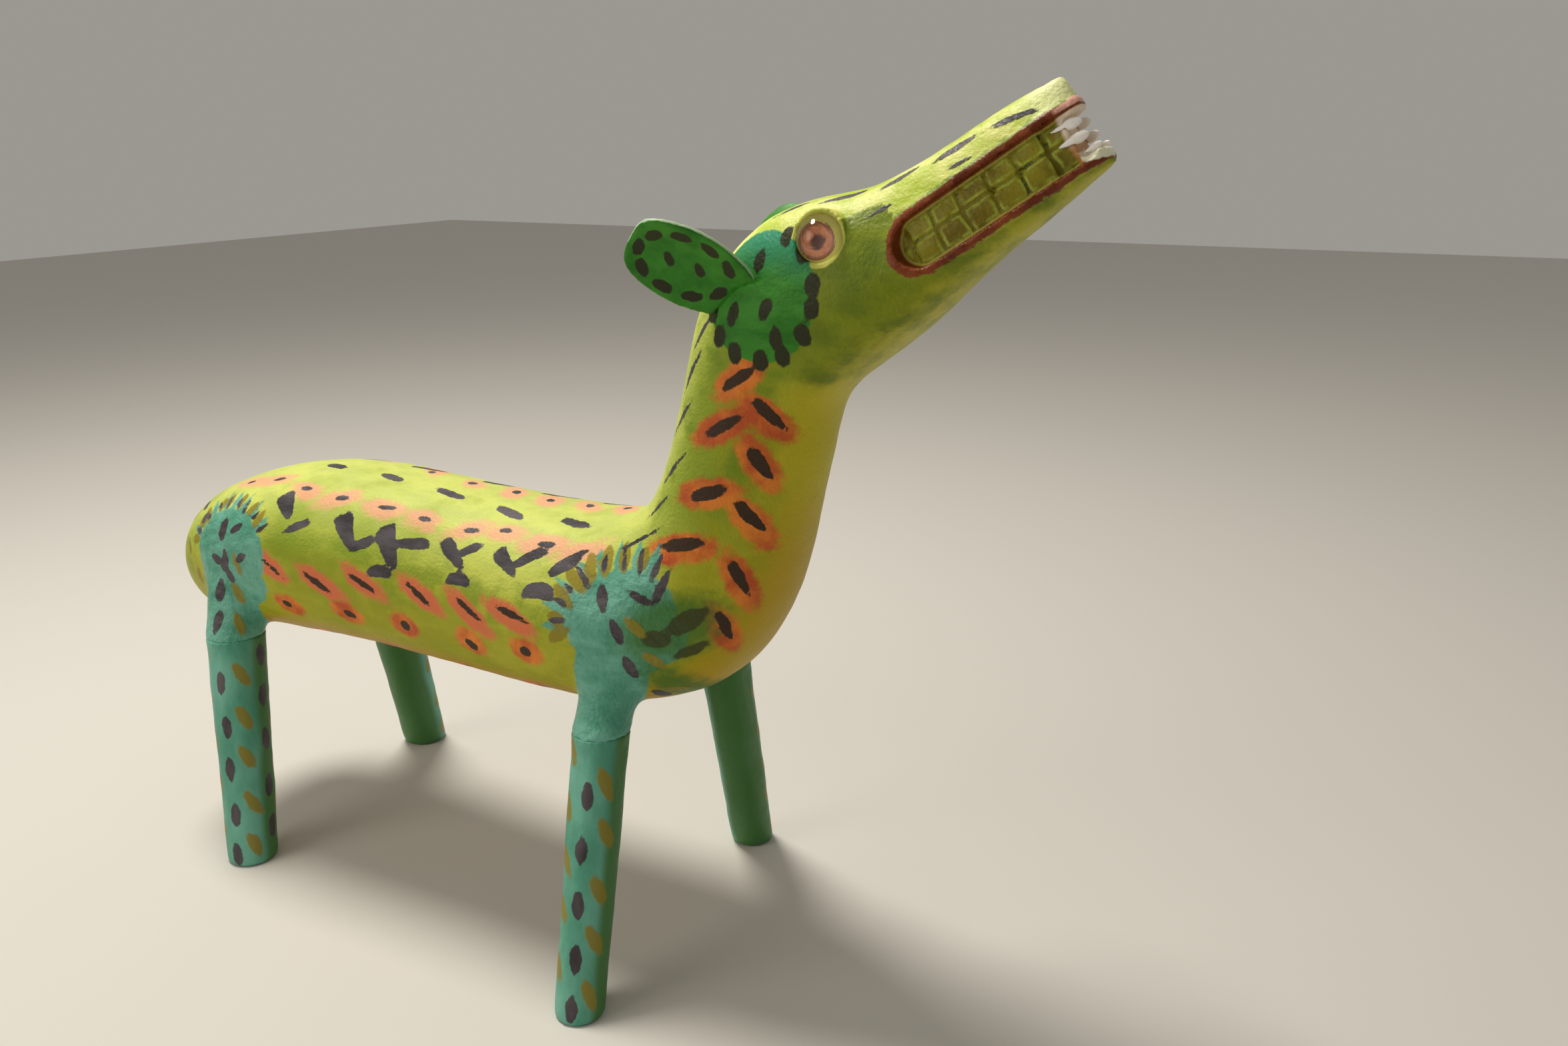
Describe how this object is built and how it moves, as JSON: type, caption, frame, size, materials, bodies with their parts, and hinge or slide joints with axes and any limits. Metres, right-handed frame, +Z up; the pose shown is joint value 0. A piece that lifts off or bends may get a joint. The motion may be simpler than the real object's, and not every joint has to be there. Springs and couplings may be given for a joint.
{
  "type": "giraffe sculpture",
  "caption": "Painted folk carving of a giraffe on peg legs: a log body with a raised neck, a long toothed muzzle, leaf ears and glass eyes.",
  "frame": {"origin": "on the floor plane, under the centre of the overall bounding box", "axes": "+X towards the muzzle, +Y to the animal's left, +Z up"},
  "size_m": [0.813, 0.3, 0.624],
  "materials": {
    "green_paint": "carved wood under thick yellow-green brushed paint with patterns in other colours",
    "teal_paint": "whittled wood under turquoise paint",
    "ear_paint": "thin wood under green paint",
    "clear_glass": "polished, clear over a painted iris",
    "tooth_paint": "small carved pieces under cream paint"
  },
  "bodies": {
    "root": {"body": "green_paint", "leg_front_right": "teal_paint", "leg_front_left": "teal_paint", "leg_hind_right": "teal_paint", "leg_hind_left": "teal_paint", "ear_right": "ear_paint", "ear_left": "ear_paint", "eye_right": "clear_glass", "eye_left": "clear_glass", "tooth_upper_right": "tooth_paint", "tooth_upper_left": "tooth_paint", "tooth_middle_right": "tooth_paint", "tooth_middle_left": "tooth_paint", "tooth_lower_right": "tooth_paint", "tooth_lower_left": "tooth_paint"}
  },
  "joints": []
}
